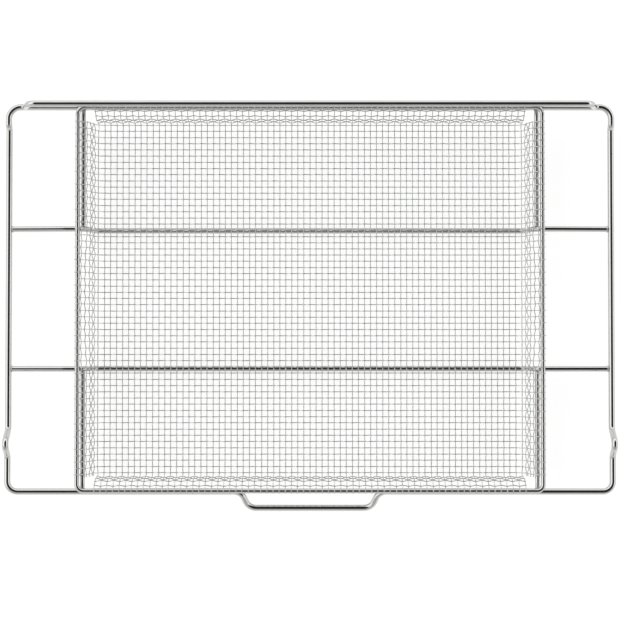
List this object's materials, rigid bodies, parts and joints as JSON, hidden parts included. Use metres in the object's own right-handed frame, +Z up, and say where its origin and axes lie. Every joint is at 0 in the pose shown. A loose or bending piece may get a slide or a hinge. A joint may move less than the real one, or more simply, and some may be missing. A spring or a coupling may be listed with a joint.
{
  "type": "air fry tray",
  "caption": "Bright wire oven rack with a shallow woven wire mesh basket in its middle, stop humps in the side rails, a bowed front handle and a rear stop rod, for air frying food.",
  "frame": {"origin": "middle of the tray's plan, on the surface that its two cross wires stand on", "axes": "+X along the width, from the left rail to the right one; +Y to the back of the oven; +Z up"},
  "size_m": [0.6104, 0.408, 0.0555],
  "materials": {
    "bright_wire": "bright plated",
    "mesh_wire": "drawn wire"
  },
  "bodies": {
    "root": {"frame_wire": "bright_wire", "back_stop": "bright_wire", "cross_wire_rear": "bright_wire", "cross_wire_front": "bright_wire", "side_rod_rear_left": "bright_wire", "side_rod_rear_right": "bright_wire", "side_rod_front_left": "bright_wire", "side_rod_front_right": "bright_wire", "rim_wire": "bright_wire", "mesh_basket": "mesh_wire"}
  },
  "joints": []
}
